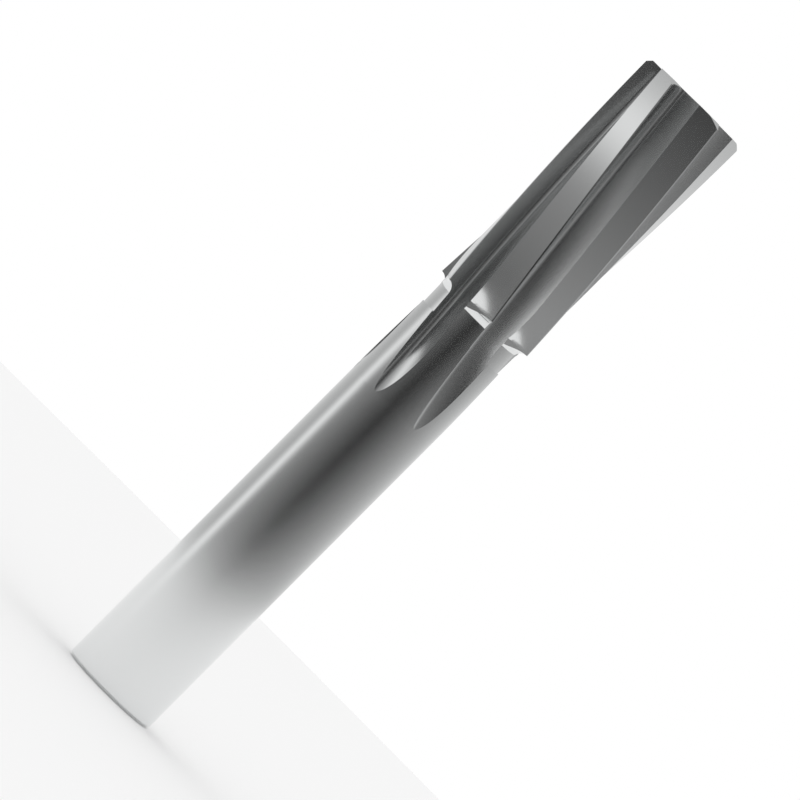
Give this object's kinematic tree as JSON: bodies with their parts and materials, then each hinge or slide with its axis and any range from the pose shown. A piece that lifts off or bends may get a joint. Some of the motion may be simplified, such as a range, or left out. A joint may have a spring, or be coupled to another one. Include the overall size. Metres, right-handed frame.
{
  "type": "machine reamer",
  "caption": "Solid carbide machine reamer with a plain round shank, a short ground neck and left-hand helical flutes with a bevel lead.",
  "frame": {"origin": "centre of the flat shank end, on the tool's axis, where the tool stands", "axes": "+Z along the tool's axis from the shank end to the cutting end; X and Y across it, with one cutting edge meeting the front face 116.7 degrees clockwise from +X, seen from the cutting end"},
  "size_m": [0.014, 0.014, 0.091],
  "materials": {
    "ground_carbide": "polished"
  },
  "bodies": {
    "root": {"reamer": "ground_carbide"}
  },
  "joints": []
}
